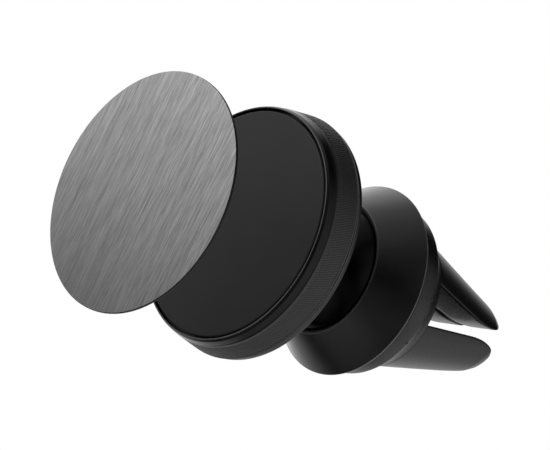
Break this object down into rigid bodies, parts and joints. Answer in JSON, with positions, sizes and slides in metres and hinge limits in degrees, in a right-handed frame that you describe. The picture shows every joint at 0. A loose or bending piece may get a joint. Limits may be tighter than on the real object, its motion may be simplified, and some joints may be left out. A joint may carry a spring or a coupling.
{
  "type": "magnetic car phone mount",
  "caption": "Magnetic phone mount for a car air vent: round knurled head on a ball joint, conical locking collar, crossed gripping prongs and a loose steel plate.",
  "frame": {"origin": "centre of the flat face at the root of the clip's crossed slots, where a vent vane's edge comes to rest", "axes": "+Y along the assembly's axis, from the magnetic face to the prong tips; +X along the clip's wide slot and +Z along its narrow one"},
  "size_m": [0.0408, 0.0766, 0.0423],
  "materials": {
    "plate_steel": "brushed",
    "pad": "soft touch",
    "bezel": "black anodised, fine diagonal knurl on the band",
    "collar": "black anodised, satin",
    "cover": "fine matt",
    "ball": "polished",
    "clip": "satin",
    "sleeve": "satin",
    "rubber": "matt",
    "inner_plastic": "matt",
    "core_plastic": "matt",
    "magnet_nickel": "nickel plated",
    "zinc_steel": "zinc plated"
  },
  "bodies": {
    "clip": {"clip_base": "clip", "ball_seat": "inner_plastic", "seat_ring": "rubber"},
    "collar_travel": {"collar_gasket": "rubber"},
    "collar": {"locking_collar": "collar"},
    "grip": {"grip_ring": "inner_plastic"},
    "ball": {"ball_stem": "ball", "stem_screw": "zinc_steel", "lock_nut": "zinc_steel", "swivel_washer": "inner_plastic"},
    "head": {"face_pad": "pad", "bezel_ring": "bezel", "magnet_carrier": "inner_plastic", "magnet_1": "magnet_nickel", "magnet_2": "magnet_nickel", "magnet_3": "magnet_nickel", "magnet_4": "magnet_nickel", "back_iron": "zinc_steel", "rear_cover": "cover", "cover_screw_1": "zinc_steel", "cover_screw_2": "zinc_steel", "cover_screw_3": "zinc_steel", "cover_screw_4": "zinc_steel"},
    "plate": {"steel_plate": "plate_steel"},
    "prong_1": {"prong_sleeve_1": "sleeve", "prong_core_1": "core_plastic"},
    "prong_2": {"prong_sleeve_2": "sleeve", "prong_core_2": "core_plastic"},
    "prong_3": {"prong_sleeve_3": "sleeve", "prong_core_3": "core_plastic"},
    "prong_4": {"prong_sleeve_4": "sleeve", "prong_core_4": "core_plastic"}
  },
  "joints": [
    {"name": "collar_travel", "type": "slide", "parent": "clip", "child": "collar_travel", "axis": [0, 1, 0], "range_m": [-0.00095, 0]},
    {"name": "collar_turn", "type": "hinge", "parent": "collar_travel", "child": "collar", "pos_m": [0, -0.0086, 0], "axis": [0, 1, 0], "range_deg": [-270, 0]},
    {"name": "ball_roll", "type": "hinge", "parent": "clip", "child": "grip", "pos_m": [0, -0.01183, 0], "axis": [0, 1, 0], "continuous": true},
    {"name": "ball_tilt", "type": "hinge", "parent": "grip", "child": "ball", "pos_m": [0, -0.01183, 0], "axis": [1, 0, 0], "range_deg": [-25, 25]},
    {"name": "head_spin", "type": "hinge", "parent": "ball", "child": "head", "pos_m": [0, -0.01183, 0], "axis": [0, 1, 0], "continuous": true},
    {"name": "plate_dock", "type": "slide", "parent": "head", "child": "plate", "axis": [-0.002, 0.9946, 0.1033], "range_m": [0, 0.01955]},
    {"name": "prong_1_flex", "type": "hinge", "parent": "clip", "child": "prong_1", "pos_m": [0.00747, 0.0003, 0.00798], "axis": [0.7071, 0, -0.7071], "range_deg": [0, 6], "stiffness_Nm_per_rad": 0.6},
    {"name": "prong_2_flex", "type": "hinge", "parent": "clip", "child": "prong_2", "pos_m": [0.00747, 0.0003, -0.00798], "axis": [-0.7071, 0, -0.7071], "range_deg": [0, 6], "stiffness_Nm_per_rad": 0.6},
    {"name": "prong_3_flex", "type": "hinge", "parent": "clip", "child": "prong_3", "pos_m": [-0.00747, 0.0003, -0.00798], "axis": [-0.7071, 0, 0.7071], "range_deg": [0, 6], "stiffness_Nm_per_rad": 0.6},
    {"name": "prong_4_flex", "type": "hinge", "parent": "clip", "child": "prong_4", "pos_m": [-0.00747, 0.0003, 0.00798], "axis": [0.7071, 0, 0.7071], "range_deg": [0, 6], "stiffness_Nm_per_rad": 0.6}
  ],
  "couplings": [
    {"joint": "collar_travel", "follows": "collar_turn", "m_per_rad": 0.00019894}
  ]
}
